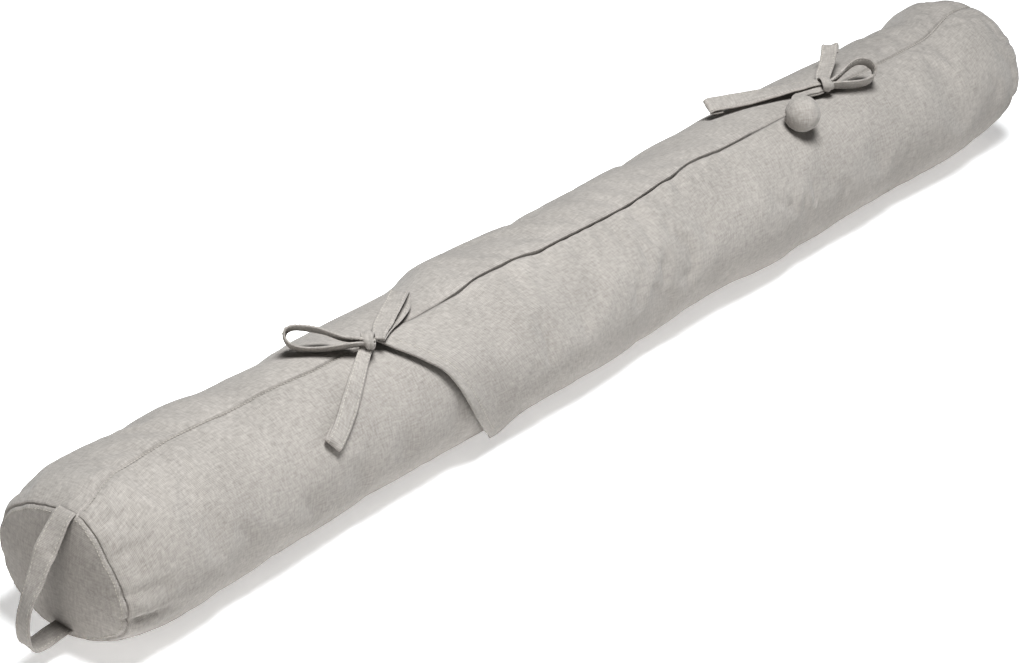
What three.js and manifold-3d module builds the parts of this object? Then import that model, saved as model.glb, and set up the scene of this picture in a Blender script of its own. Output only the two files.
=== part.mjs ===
// Draught excluder: a filled linen tube that lies along the foot of a door.
// Millimetres, +Z up. X runs along the tube, and -Y is the front, where the closing panel hangs.
// The origin is the middle of the flat spot that the tube rests on.
import * as THREE from "three";
import { mergeVertices } from "three/addons/utils/BufferGeometryUtils.js";
import Module from "manifold-3d";

// Driving dimensions
const SEAM_X = 450;
const AXIS_HEIGHT = 48.5;
const UNDER_HEIGHT = 51.5;
const SHOULDER = 50;
const END_RISE_RUN = 90;
const GAP = 0.4;
const END_PANEL_RIM = 3;
const SEAM_DIP = 1.2;
const PANEL_CLOTH = 2;
const PANEL_LIFT = 0.8;
const PANEL_LOWEST_DEG = 134;
const OPENING_GAP_DEG = 1.4;
const TIE_WIDTH = 12.5;
const TIE_CLOTH = 1.8;
const TIE_IN_KNOT_WIDTH = 9;
const KNOT_RADII = { along: 7.5, across: 6, high: 4.8 };

// The tube is drawn in at its middle and spreads towards its ends. Seam: how much of the full section
// is left at the end seam. Dome: how far the end panel stands out. Rise: how far the end curls up.
const MIDDLE = { halfWidth: 53, crown: 53 };
const NEAR_END = { halfWidth: 60.8, crown: 49.4, seam: 0.835, dome: 7, rise: 0 };
const FAR_END = { halfWidth: 58.4, crown: 50.2, seam: 0.845, dome: 9, rise: 5 };

const DEG = Math.PI / 180;
const UP = new THREE.Vector3(0, 0, 1);

// How far the lying tube departs from an even one: behind the top, and low on the front.
const BACK_SWELL = [
  { x: -450, out: -2.5 },
  { x: -405, out: -1.5 },
  { x: -350, out: 1.5 },
  { x: -262, out: -3 },
  { x: -165, out: 0 },
  { x: -65, out: 2.5 },
  { x: 95, out: -1.5 },
  { x: 195, out: 2 },
  { x: 300, out: 0 },
  { x: 375, out: -2 },
  { x: 420, out: 1.5 },
];
const BACK_SWELL_DEG = -50;
const FRONT_SWELL = [
  { x: -400, out: 0 },
  { x: -222, out: -2.3 },
  { x: -54, out: 2.2 },
  { x: 80, out: -1.4 },
  { x: 175, out: 1.2 },
  { x: 300, out: 0 },
];
const FRONT_SWELL_DEG = 115;

// The line of the top seam and the opening, in degrees from the top towards the front.
const TOP_LINE = [
  { x: -450, angle: 16 },
  { x: -410, angle: 5 },
  { x: -370, angle: 3.5 },
  { x: -305, angle: 7.5 },
  { x: -242, angle: 12 },
  { x: -204, angle: 16.5 },
  { x: -138, angle: 16.5 },
  { x: -112, angle: 14.5 },
  { x: -86, angle: 15.5 },
  { x: -54, angle: 19.8 },
  { x: 26, angle: 21 },
  { x: 72, angle: 18.5 },
  { x: 102, angle: 15.2 },
  { x: 135, angle: 17.3 },
  { x: 205, angle: 17.5 },
  { x: 262, angle: 13 },
  { x: 375, angle: 12 },
  { x: 424, angle: 5 },
  { x: 450, angle: 7 },
];

// How high the folded back edge stands over the filling, along the opening.
const BACK_EDGE_RISE = [
  { x: -205, out: 0 },
  { x: -160, out: 2.8 },
  { x: 205, out: 2.8 },
  { x: 240, out: 0 },
];
const BACK_EDGE_FADE_DEG = 55;
const SEWN_SHUT_RISE = 0.5;

// Puckers where the tube is gathered into its end panels: a row for each trough.
const NEAR_PUCKERS = [
  { angle: -140, deep: 2.5, run: 40 },
  { angle: -104, deep: 2, run: 34 },
  { angle: -72, deep: 2.5, run: 38 },
  { angle: -40, deep: 1.8, run: 30 },
  { angle: 30, deep: 2, run: 30 },
  { angle: 54, deep: 2, run: 36 },
  { angle: 76, deep: 2.4, run: 34 },
  { angle: 95, deep: 4, run: 48 },
  { angle: 132, deep: 2.5, run: 36 },
];
const FAR_PUCKERS = [
  { angle: -136, deep: 2.2, run: 36 },
  { angle: -96, deep: 2.5, run: 40 },
  { angle: -58, deep: 2, run: 32 },
  { angle: -28, deep: 2.2, run: 36 },
  { angle: 42, deep: 2.5, run: 40 },
  { angle: 76, deep: 2, run: 34 },
  { angle: 108, deep: 2.8, run: 44 },
  { angle: 140, deep: 2.2, run: 36 },
];
const PUCKER_HALF_DEG = 9;

// The closing panel's free near edge and its sewn far edge, and how far the cloth stands off the tube.
const PANEL_NEAR_EDGE = [
  { angle: 17, x: -204, off: 2.2 },
  { angle: 35, x: -196, off: 3.4 },
  { angle: 53, x: -184, off: 3.4 },
  { angle: 65, x: -177, off: 2.6 },
  { angle: 82, x: -169, off: 1.4 },
  { angle: 100, x: -159, off: 1.2 },
  { angle: 122, x: -143, off: 3 },
  { angle: 134, x: -134, off: 4 },
];
const PANEL_FAR_EDGE = [
  { angle: 17, x: 224 },
  { angle: 134, x: 190 },
];
const PANEL_EDGE_REACH = 46;

// Straps that lie free, by their middle line: place along the tube, degrees from the top towards the
// front, and height over the tube's skin.
const NEAR_FRONT_TAIL = [
  { x: -213, angle: 21.5, lift: 8.8 },
  { x: -220, angle: 26.5, lift: 6.2 },
  { x: -236, angle: 34, lift: 3.2 },
  { x: -255, angle: 44.5, lift: 2.2 },
  { x: -268, angle: 54, lift: 2.2 },
  { x: -279, angle: 61, lift: 2.8 },
];
const FAR_LEFT_TAIL = [
  { x: 252, angle: 14, lift: 9 },
  { x: 243, angle: 8, lift: 7 },
  { x: 219, angle: -5, lift: 4.6 },
  { x: 181, angle: -27, lift: 6 },
];
const FAR_UP_TAIL = [
  { x: 292, angle: -9, lift: 17 },
  { x: 282, angle: -3, lift: 9 },
  { x: 268, angle: 5, lift: 2.6 },
  { x: 254, angle: 14, lift: 1.9 },
  { x: 243, angle: 20, lift: 4.6 },
  { x: 233, angle: 25, lift: 6 },
];

// Bow loops: where each leaves its knot, which way it points, how long and wide it is, and how wide
// it stands open.
const NEAR_KNOT = new THREE.Vector3(-213, -22, 106);
const FAR_KNOT = new THREE.Vector3(252, -15, 108);
const BOW_LOOPS = {
  nearLeft: {
    from: [-216, -22, 107.5], out: [-36, 41, 0], up: [0.2, 0.2, 1], length: 52, width: 12.5, open: 11,
  },
  nearBack: {
    from: [-206, -17.5, 106], out: [44, 24, 4], up: [0, 0, 1], length: 45, width: 14, open: 8,
  },
  farRight: {
    from: [254, -16, 109.5], out: [38, -15, 0], up: [0.1, 0.1, 1], length: 38, width: 12, open: 15,
  },
  farFront: {
    from: [237, -20, 107], out: [-36, -11, -1], up: [0, -0.35, 1], length: 43, width: 20, open: 12,
  },
};
const STRAND_SPREAD = 1.5;
const UP_TAIL_WIDTH = 11;

// The carry loop's middle line, in the upright plane of its two ends.
const CARRY_Y = -8;
const CARRY_LOOP = [
  { x: -453.8, z: 88.5 },
  { x: -458, z: 84 },
  { x: -465, z: 75.5 },
  { x: -472.5, z: 61.5 },
  { x: -479, z: 48.5 },
  { x: -483.5, z: 37.5 },
  { x: -483, z: 26 },
  { x: -478, z: 17 },
  { x: -469, z: 13.5 },
  { x: -455.3, z: 13.5 },
];

// How finely the forms are divided
const TUBE_AROUND = 68;
const TUBE_ALONG = 34;
const TUBE_END_CROWDING = 1.35;
const END_AROUND = 48;
const PANEL_STEPS = { along: 24, across: 16 };
const STRAP_STEPS = { tail: 10, loop: 22, carry: 20 };
const KNOT_STEPS = { around: 14, high: 9 };

const smooth = (t) => THREE.MathUtils.smoothstep(t, 0, 1);
const lerp = THREE.MathUtils.lerp;

// A table's value between two of its rows, eased from one to the next.
function between(rows, key, column, at) {
  const next = rows.findIndex((row) => row[key] > at);
  if (next === 0) return rows[0][column];
  if (next < 0) return rows[rows.length - 1][column];
  const [a, b] = [rows[next - 1], rows[next]];
  return lerp(a[column], b[column], smooth((at - a[key]) / (b[key] - a[key])));
}

// A geometry with each point moved to its place, as one closed skin.
function shaped(form, place) {
  const points = form.getAttribute("position");
  const p = new THREE.Vector3();
  for (let i = 0; i < points.count; i++) {
    place(p.fromBufferAttribute(points, i));
    points.setXYZ(i, p.x, p.y, p.z);
  }
  form.deleteAttribute("normal");
  form.deleteAttribute("uv");
  return mergeVertices(form, 1e-3);
}

// The tube's section at a place along it, drawn in over the rounded shoulder of each end.
function sectionAt(x) {
  const end = x < 0 ? NEAR_END : FAR_END;
  const spread = (x / SEAM_X) ** 2;
  const left = Math.min(1, (SEAM_X - Math.abs(x)) / SHOULDER);
  const full = end.seam + (1 - end.seam) * Math.sqrt(1 - (1 - left) ** 2);
  const risen = smooth((Math.abs(x) - SEAM_X + END_RISE_RUN) / END_RISE_RUN);
  return {
    full,
    axis: AXIS_HEIGHT + end.rise * risen,
    halfWidth: full * lerp(MIDDLE.halfWidth, end.halfWidth, spread),
    crown: full * lerp(MIDDLE.crown, end.crown, spread),
    under: full * UNDER_HEIGHT,
  };
}

// How far the puckers draw the cloth in at a place near an end.
function puckerDepth(x, angle) {
  const rows = x < 0 ? NEAR_PUCKERS : FAR_PUCKERS;
  const toSeam = SEAM_X - Math.abs(x);
  let depth = 0;
  for (const row of rows) {
    const turn = Math.abs(angle - row.angle);
    const side = Math.min(turn, 360 - turn) / PUCKER_HALF_DEG;
    depth += row.deep * (1 - smooth(side)) * (1 - smooth(toSeam / row.run));
  }
  return depth;
}

// How much of a swell shows at an angle: all of it at the swell's own angle, none a quarter turn off.
const swellShare = (angle, swellAngle) => Math.max(0, Math.cos((angle - swellAngle) * DEG)) ** 2;

// A point of the tube's skin, angle in degrees from the top towards the front, lifted off by some height.
function onTube(x, angle, lift = 0) {
  const section = sectionAt(x);
  const side = Math.sin(angle * DEG);
  const top = Math.cos(angle * DEG);
  const back = between(BACK_SWELL, "x", "out", x) * swellShare(angle, BACK_SWELL_DEG);
  const front = between(FRONT_SWELL, "x", "out", x) * swellShare(angle, FRONT_SWELL_DEG);
  const off = lift + (back + front) * section.full - puckerDepth(x, angle);
  const y = -(section.halfWidth + off) * side;
  const z = section.axis + ((top > 0 ? section.crown : section.under) + off) * top;
  return new THREE.Vector3(x, y, Math.max(0, z));
}

// The way that the tube's skin faces at a point on or near it.
function tubeFacing(point) {
  return new THREE.Vector3(0, point.y, point.z - AXIS_HEIGHT).normalize();
}

// The filled tube. Its columns of points start in front of the top line and end behind it, so that
// the last wall is the seam's groove, or the riser of the folded back edge along the opening.
function tubeGeometry() {
  const form = new THREE.CylinderGeometry(1, 1, 1, TUBE_AROUND, TUBE_ALONG);
  const inner = SEAM_X - END_PANEL_RIM - GAP;
  const rounded = SEAM_X - SHOULDER / 2;
  return shaped(form, (p) => {
    const run = p.y * 2;
    const x = inner * Math.sign(run) * (1 - (1 - Math.abs(run)) ** TUBE_END_CROWDING);
    if (Math.hypot(p.x, p.z) < 0.5) {
      p.set(x, 0, sectionAt(x).axis);
      return;
    }
    const turn = Math.round((Math.atan2(p.x, p.z) / (2 * Math.PI)) * TUBE_AROUND + TUBE_AROUND);
    const column = turn % TUBE_AROUND;
    const last = TUBE_AROUND - 1;
    const line = between(TOP_LINE, "x", "angle", x);
    const past = (column / last) * (360 - OPENING_GAP_DEG) + OPENING_GAP_DEG / 2;
    const angle = line + past > 180 ? line + past - 360 : line + past;
    const rise = between(BACK_EDGE_RISE, "x", "out", x);
    const fade = 1 - smooth((line - angle) / BACK_EDGE_FADE_DEG);
    const isSeam = (column === 0 || column === last) && rise < SEWN_SHUT_RISE && Math.abs(x) < rounded;
    p.copy(onTube(x, angle, (angle < line ? rise * fade : 0) - (isSeam ? SEAM_DIP : 0)));
  });
}

// A round end panel: a low dome with a rim. Each row of its profile gives the share of its reach from
// the middle to the seam, and the share of the dome's height.
const DOME_PROFILE = [
  { reach: 0.985, high: 0 },
  { reach: 0.93, high: 0.34 },
  { reach: 0.75, high: 0.7 },
  { reach: 0.42, high: 0.95 },
  { reach: 0, high: 1 },
];
const RIM_REACH = 0.97;

function endPanelGeometry(side) {
  const end = side < 0 ? NEAR_END : FAR_END;
  const dome = DOME_PROFILE.map((row) => new THREE.Vector2(row.reach, row.high * end.dome));
  const rim = [new THREE.Vector2(0, -END_PANEL_RIM), new THREE.Vector2(RIM_REACH, -END_PANEL_RIM)];
  const form = new THREE.LatheGeometry([...rim, ...dome], END_AROUND);
  const section = sectionAt(side * SEAM_X);
  return shaped(form, (p) => {
    const reach = Math.hypot(p.x, p.z);
    const turn = side * Math.atan2(p.x, p.z);
    const height = reach * (Math.cos(turn) > 0 ? section.crown : section.under);
    const width = reach * section.halfWidth;
    const x = side * (SEAM_X + p.y);
    p.set(x, -width * Math.sin(turn), section.axis + height * Math.cos(turn));
  });
}

// The closing panel: a sheet on the tube's front, from the opening down to its sewn lower edge.
const PANEL_TOP_SET_BACK_DEG = 2.2;

function closingPanelGeometry() {
  const form = new THREE.BoxGeometry(1, 1, 1, PANEL_STEPS.along, PANEL_STEPS.across, 1);
  const highest = PANEL_NEAR_EDGE[0].angle;
  return shaped(form, (p) => {
    const down = 0.5 - p.y;
    const level = lerp(highest, PANEL_LOWEST_DEG, down);
    const nearX = between(PANEL_NEAR_EDGE, "angle", "x", level);
    const farX = between(PANEL_FAR_EDGE, "angle", "x", level);
    const x = lerp(nearX, farX, p.x + 0.5);
    const topAngle = between(TOP_LINE, "x", "angle", x) + PANEL_TOP_SET_BACK_DEG;
    const angle = lerp(topAngle, PANEL_LOWEST_DEG, down);
    const off = between(PANEL_NEAR_EDGE, "angle", "off", level);
    const edge = 1 - smooth((x - nearX) / PANEL_EDGE_REACH);
    p.copy(onTube(x, angle, PANEL_LIFT + off * edge + (p.z + 0.5) * PANEL_CLOTH));
  });
}

// A flat strap along a curve, as wide as widthAt says, its width lying the way that acrossAt gives.
function strapGeometry(curve, steps, acrossAt, widthAt = () => TIE_WIDTH) {
  const form = new THREE.BoxGeometry(1, 1, TIE_CLOTH, steps, 1, 1);
  return shaped(form, (p) => {
    const t = p.x + 0.5;
    const middle = curve.getPoint(t);
    const along = curve.getTangent(t);
    const across = acrossAt(along, middle).normalize();
    const facing = along.clone().cross(across);
    const [sideways, through] = [p.y * widthAt(t), p.z];
    p.copy(middle).addScaledVector(across, sideways).addScaledVector(facing, through);
  });
}

const lineThrough = (points) => new THREE.CatmullRomCurve3(points);
const lineOnTube = (rows) => lineThrough(rows.map((row) => onTube(row.x, row.angle, row.lift)));
const flatOnTube = (along, middle) => tubeFacing(middle).cross(along);
const flatUp = (along) => UP.clone().cross(along);

// A tie narrows where it is drawn into its knot, at the start of its line.
const DRAWN_IN_SHARE = 0.4;
const drawnIn = (t, width = TIE_WIDTH) => lerp(TIE_IN_KNOT_WIDTH, width, smooth(t / DRAWN_IN_SHARE));

// A bow's loop: out along one strand, round, and back along the other, in the shape of a drop.
const DROP_POINT = 0.6;

class BowLoop extends THREE.Curve {
  constructor({ from, out, up, length, open }) {
    super();
    this.from = new THREE.Vector3(...from);
    this.out = new THREE.Vector3(...out).normalize();
    this.across = new THREE.Vector3(...up).cross(this.out).normalize();
    this.up = this.out.clone().cross(this.across);
    this.length = length;
    this.open = open;
  }
  getPoint(t) {
    const reach = (this.length * (1 - Math.cos(2 * Math.PI * t))) / 2;
    const drop = -(this.open / 2) * Math.sin(2 * Math.PI * t) * Math.sin(Math.PI * t) ** DROP_POINT;
    const spread = STRAND_SPREAD * (2 * t - 1);
    return this.from.clone().addScaledVector(this.out, reach).addScaledVector(this.up, drop + spread);
  }
}

function loopGeometry(shape) {
  const curve = new BowLoop(shape);
  const width = (t) => drawnIn(Math.min(t, 1 - t), shape.width);
  return strapGeometry(curve, STRAP_STEPS.loop, () => curve.across.clone(), width);
}

// A pulled knot: a rounded lump, longer along the bow than across it.
function knotGeometry(centre, out) {
  const along = new THREE.Vector3(...out).setZ(0).normalize();
  const across = UP.clone().cross(along);
  return shaped(new THREE.SphereGeometry(1, KNOT_STEPS.around, KNOT_STEPS.high), (p) => {
    const [a, b, c] = [p.z * KNOT_RADII.along, p.x * KNOT_RADII.across, p.y * KNOT_RADII.high];
    p.copy(centre).addScaledVector(along, a).addScaledVector(across, b).addScaledVector(UP, c);
  });
}

const wasm = await Module();
wasm.setup();

// Straps that are one cloth, joined into one closed solid.
function joined(geometries) {
  const solids = geometries.map((form) => {
    const vertProperties = new Float32Array(form.getAttribute("position").array);
    const triVerts = new Uint32Array(form.index.array);
    return new wasm.Manifold(new wasm.Mesh({ numProp: 3, vertProperties, triVerts }));
  });
  const mesh = solids.reduce((whole, solid) => whole.add(solid)).getMesh();
  const form = new THREE.BufferGeometry();
  form.setAttribute("position", new THREE.BufferAttribute(mesh.vertProperties, 3));
  form.setIndex(new THREE.BufferAttribute(mesh.triVerts, 1));
  return form;
}

const draughtExcluder = new THREE.Group();

function addPiece(name, geometry, colour) {
  geometry.computeVertexNormals();
  const linen = new THREE.MeshStandardMaterial({ color: colour, roughness: 0.95, metalness: 0 });
  const piece = new THREE.Mesh(geometry, linen);
  piece.name = name;
  draughtExcluder.add(piece);
}

const LINEN = 0xb9b4ab;
const LINEN_STRAP = 0xb2ada4;

addPiece("filled_tube", tubeGeometry(), LINEN);
addPiece("end_panel_near", endPanelGeometry(-1), LINEN);
addPiece("end_panel_far", endPanelGeometry(1), LINEN);
addPiece("closing_panel", closingPanelGeometry(), LINEN);

const nearKnotTie = [
  knotGeometry(NEAR_KNOT, BOW_LOOPS.nearLeft.out),
  loopGeometry(BOW_LOOPS.nearLeft),
  strapGeometry(lineOnTube(NEAR_FRONT_TAIL), STRAP_STEPS.tail, flatOnTube, drawnIn),
];
addPiece("near_tie_over", joined(nearKnotTie), LINEN_STRAP);

addPiece("near_tie_under", loopGeometry(BOW_LOOPS.nearBack), LINEN_STRAP);

const farKnotTie = [
  knotGeometry(FAR_KNOT, BOW_LOOPS.farRight.out),
  loopGeometry(BOW_LOOPS.farRight),
  strapGeometry(lineOnTube(FAR_LEFT_TAIL), STRAP_STEPS.tail, flatUp, drawnIn),
];
addPiece("far_tie_over", joined(farKnotTie), LINEN_STRAP);

const farUnderTie = [
  loopGeometry(BOW_LOOPS.farFront),
  strapGeometry(lineOnTube(FAR_UP_TAIL), STRAP_STEPS.tail, flatOnTube, () => UP_TAIL_WIDTH),
];
addPiece("far_tie_under", joined(farUnderTie), LINEN_STRAP);

const carryLine = lineThrough(CARRY_LOOP.map((row) => new THREE.Vector3(row.x, CARRY_Y, row.z)));
const carryAcross = () => new THREE.Vector3(0, 1, 0);
addPiece("carry_loop", strapGeometry(carryLine, STRAP_STEPS.carry, carryAcross), LINEN_STRAP);

export default draughtExcluder;
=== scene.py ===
import math
import random

import bmesh
import bpy
from mathutils import Matrix, Vector, noise


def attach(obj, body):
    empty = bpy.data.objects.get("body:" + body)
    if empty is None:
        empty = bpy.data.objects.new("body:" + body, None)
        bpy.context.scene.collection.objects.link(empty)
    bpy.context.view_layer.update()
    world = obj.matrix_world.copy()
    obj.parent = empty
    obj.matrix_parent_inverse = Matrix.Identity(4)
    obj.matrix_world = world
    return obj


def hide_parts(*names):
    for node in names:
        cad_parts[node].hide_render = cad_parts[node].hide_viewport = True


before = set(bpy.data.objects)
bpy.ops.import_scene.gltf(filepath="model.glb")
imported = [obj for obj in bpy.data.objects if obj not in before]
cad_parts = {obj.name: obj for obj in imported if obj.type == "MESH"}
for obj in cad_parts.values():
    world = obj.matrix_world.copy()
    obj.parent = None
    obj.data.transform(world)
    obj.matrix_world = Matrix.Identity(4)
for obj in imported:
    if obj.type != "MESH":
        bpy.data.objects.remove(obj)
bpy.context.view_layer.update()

# Camera: a long lens that looks down along the tube from beyond its carry-loop end.
# Its place was fitted to the tube's outlines and to the near end panel.
PHOTO_WIDTH = 1024
SENSOR_WIDTH = 36.0
VIEW_TURN = math.radians(49.68)
VIEW_RISE = math.radians(28.78)
VIEW_DISTANCE = 2.1334
VIEW_FOCUS_PX = 3345.7
VIEW_TARGET = Vector((-0.06187, 0.0, 0.03876))

towards_camera = Vector((
    -math.sin(VIEW_TURN) * math.cos(VIEW_RISE),
    -math.cos(VIEW_TURN) * math.cos(VIEW_RISE),
    math.sin(VIEW_RISE),
))
camera = bpy.data.objects.new("camera", bpy.data.cameras.new("camera"))
camera.data.sensor_fit = "HORIZONTAL"
camera.data.sensor_width = SENSOR_WIDTH
camera.data.lens = SENSOR_WIDTH * VIEW_FOCUS_PX / PHOTO_WIDTH
camera.location = VIEW_TARGET + VIEW_DISTANCE * towards_camera
camera.rotation_euler = towards_camera.to_track_quat("Z", "Y").to_euler()
bpy.context.collection.objects.link(camera)
bpy.context.scene.camera = camera

# Filled tube: one long panel of greige linen, sewn into a tube along its top seam and stuffed firmly
# with loose fibre. Behind the opening its edge is folded into a hem that laps over the closing panel,
# and each end is gathered a little where it is sewn to a round end panel.
MM = 0.001
SEAM_X = 450.0
AXIS_HEIGHT = 48.5
UNDER_HEIGHT = 51.5
SHOULDER = 50.0
END_RISE_RUN = 90.0
MIDDLE = {"half_width": 53.0, "crown": 53.0}
NEAR_END = {"half_width": 60.8, "crown": 49.4, "seam": 0.835, "dome": 7.0, "rise": 0.0}
FAR_END = {"half_width": 58.4, "crown": 50.2, "seam": 0.845, "dome": 9.0, "rise": 5.0}

# How far the lying tube departs from an even one, by place along it: behind the top, low on the front.
BACK_SWELL = [
    (-450, -0.5), (-425, 1.3), (-405, 1.8), (-385, 2.2), (-350, 1.5), (-300, -1.6), (-262, -2.2),
    (-238, -0.6), (-205, -0.8), (-150, -1.0), (-131, 1.6), (-118, 3.6), (-100, 3.2), (-65, 2.0), (-20, 0.2),
    (40, -0.2), (95, -0.3), (150, 1.2), (195, 2), (300, 0), (375, -2.5), (400, -2.8), (425, -0.2), (450, 1),
]
BACK_SWELL_DEG = -50
FRONT_SWELL = [(-400, 0), (-222, -2.3), (-54, 2.2), (80, -1.4), (175, 1.2), (300, 0)]
FRONT_SWELL_DEG = 115
# How far the near end's sewn rim departs from an oval, by degrees from the top.
NEAR_RIM = [
    (-180, -1.5), (-120, 0), (-60, 0), (-30, -1.6), (-10, -1.8), (0, -0.8), (10, 1.4), (20, 3.0), (30, 1.6),
    (40, -1.4), (50, -3.6), (60, -4.4), (70, -4.0), (80, -2.6), (90, -0.3), (100, 2.0), (110, 2.6), (125, 1.0),
    (145, -2.0), (165, -2.4), (180, -1.5),
]
NEAR_RIM_RUN = 55

# The line of the top seam and the opening, in degrees from the top towards the front.
TOP_LINE = [
    (-450, 16), (-410, 5), (-370, 3.5), (-305, 7.5), (-242, 12), (-204, 16.5), (-138, 16.5),
    (-112, 14.5), (-86, 15.5), (-54, 19.8), (26, 21), (72, 18.5), (102, 15.2), (135, 17.3),
    (205, 17.5), (262, 13), (375, 12), (424, 5), (450, 7),
]
HEM_RISE = 2.8
HEM_RUN = [(-205, 0), (-178, 1.4), (-150, 1.6), (-136, HEM_RISE), (158, HEM_RISE), (184, 1.5), (240, 0)]
HEM_FADE_DEG = 55
HEM_DEPTH = 11.0
# How wide the opening gapes under the hem, by place along it.
GAPE_RUN = [
    (-150, 0), (-138, 0.7), (-110, 1), (-77, 1), (-71, 0.45), (-64, 1),
    (20, 1), (84, 0.9), (90, 0.35), (98, 0.7), (158, 0.6), (168, 0),
]

# How deep the line is drawn in where it is closed.
SEAM_RUN = [
    (-450, 0.5), (-405, 0.55), (-385, 1), (-228, 1), (-208, 0.4), (-150, 0.4), (-136, 1),
    (158, 1), (176, 0.4), (262, 0.45), (300, 0.8), (450, 0.8),
]

# Troughs where the tube is gathered into its end panels: angle, depth, run from the seam, half width.
NEAR_PUCKERS = [
    (-140, 2.5, 40, 9), (-104, 2, 34, 8), (-72, 2.5, 38, 9), (-40, 1.8, 30, 8), (30, 2, 30, 7),
    (24, 1.8, 18, 3), (54, 1.6, 36, 7), (84, 2.2, 34, 6), (104, 2.6, 48, 9), (104, 4.6, 32, 2.8),
    (132, 2.5, 36, 9),
]
FAR_PUCKERS = [
    (-136, 2.2, 36, 9), (-96, 2.5, 40, 9), (-58, 2, 32, 8), (-28, 2.2, 36, 7), (42, 2.0, 40, 9),
    (55, 3.4, 16, 4), (76, 2, 34, 8), (108, 2.8, 44, 9), (140, 2.2, 36, 9),
]
GATHERS_EACH_END = 30
# At the seam itself a trough has this share of its depth, and all of it this many mm away.
PUCKER_AT_SEAM = 0.35
PUCKER_FULL_RUN = 9
# The stuffed cloth's unevenness, broad and fine: height in mm, size in metres.
BROAD_RISE, BROAD_SIZE = 0.9, 0.07
FINE_RISE, FINE_SIZE = 0.35, 0.024


def eased(t):
    t = min(1.0, max(0.0, t))
    return t * t * (3 - 2 * t)


def mixed(a, b, t):
    return a + (b - a) * t


def row_value(rows, at, column=1):
    """A table's value between two of its rows, eased from one to the next."""
    if at <= rows[0][0]:
        return rows[0][column]
    for low, high in zip(rows, rows[1:]):
        if at < high[0]:
            return mixed(low[column], high[column], eased((at - low[0]) / (high[0] - low[0])))
    return rows[-1][column]


def smooth_value(rows, at, column=1):
    """A table's value on one smooth curve through all its rows."""
    if at <= rows[0][0]:
        return rows[0][column]
    if at >= rows[-1][0]:
        return rows[-1][column]
    i = next(k for k in range(len(rows) - 1) if at < rows[k + 1][0])

    def slope(k):
        before, after = rows[max(0, k - 1)], rows[min(len(rows) - 1, k + 1)]
        return (after[column] - before[column]) / (after[0] - before[0])

    run = rows[i + 1][0] - rows[i][0]
    t = (at - rows[i][0]) / run
    return (
        rows[i][column] * (1 + 2 * t) * (1 - t) ** 2 + rows[i + 1][column] * t * t * (3 - 2 * t)
        + run * (slope(i) * t * (1 - t) ** 2 - slope(i + 1) * t * t * (1 - t))
    )


def hump(distance, half):
    """A soft rounded ridge: 1 on its line, and nearly gone two half widths away."""
    return math.exp(-((distance / half) ** 2))


def turn_between(a, b):
    """How many degrees lie between two angles, the short way."""
    return abs((a - b + 180) % 360 - 180)


gather_rng = random.Random(11)
gathers = {
    side: [
        (
            gather_rng.uniform(-180, 180),
            gather_rng.uniform(0.3, 1.0),
            gather_rng.uniform(9, 24),
            gather_rng.uniform(1.8, 3.4),
        )
        for _ in range(GATHERS_EACH_END)
    ]
    for side in (-1, 1)
}


def tube_section(x):
    """The tube's half width, crown, depth below its axis, axis height and fullness at a place along it."""
    end = NEAR_END if x < 0 else FAR_END
    spread = (x / SEAM_X) ** 2
    left = max(0.0, min(1.0, (SEAM_X - abs(x)) / SHOULDER))
    full = end["seam"] + (1 - end["seam"]) * math.sqrt(1 - (1 - left) ** 2)
    axis = AXIS_HEIGHT + end["rise"] * eased((abs(x) - SEAM_X + END_RISE_RUN) / END_RISE_RUN)
    half_width = full * mixed(MIDDLE["half_width"], end["half_width"], spread)
    crown = full * mixed(MIDDLE["crown"], end["crown"], spread)
    return half_width, crown, full * UNDER_HEIGHT, axis, full


def pucker_depth(x, angle, rows):
    to_seam = SEAM_X - abs(x)
    depth = 0.0
    for row_angle, deep, run, half in rows:
        if to_seam < run:
            side = turn_between(angle, row_angle) / half
            if side < 1:
                opened = mixed(PUCKER_AT_SEAM, 1, eased(to_seam / PUCKER_FULL_RUN))
                depth += deep * (1 - eased(side)) * (1 - eased(to_seam / run)) * opened
    return depth


def tube_point(x, angle, lift=0.0, fine=False):
    """A point of the tube's skin in metres: x along, degrees from the top to the front, height over it."""
    half_width, crown, under, axis, full = tube_section(x)
    side = math.sin(math.radians(angle))
    top = math.cos(math.radians(angle))
    back_share = max(0.0, math.cos(math.radians(angle - BACK_SWELL_DEG))) ** 2
    front_share = max(0.0, math.cos(math.radians(angle - FRONT_SWELL_DEG))) ** 2
    swell = smooth_value(BACK_SWELL, x) * back_share + row_value(FRONT_SWELL, x) * front_share
    off = lift + swell * full - pucker_depth(x, angle, NEAR_PUCKERS if x < 0 else FAR_PUCKERS)
    if x < NEAR_RIM_RUN - SEAM_X:
        off += smooth_value(NEAR_RIM, angle) * (1 - eased((SEAM_X + x) / NEAR_RIM_RUN))
    if fine:
        off -= pucker_depth(x, angle, gathers[-1 if x < 0 else 1])
    y = -(half_width + off) * side
    z = axis + ((crown if top > 0 else under) + off) * top
    return Vector((x, y, max(0.0, z))) * MM


def tube_out(angle):
    return Vector((0.0, -math.sin(math.radians(angle)), math.cos(math.radians(angle))))


def unevenness(point, size, seed):
    """Gentle rise and fall of stuffed cloth, from -1 to 1, over about that many metres."""
    return noise.noise(point / size + Vector((seed, 2.3 * seed, -seed)))


def cloth_rise(point):
    """How far the stuffed cloth stands off its even shape, in mm."""
    return BROAD_RISE * unevenness(point, BROAD_SIZE, 1.0) + FINE_RISE * unevenness(point, FINE_SIZE, 4.0)


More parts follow.
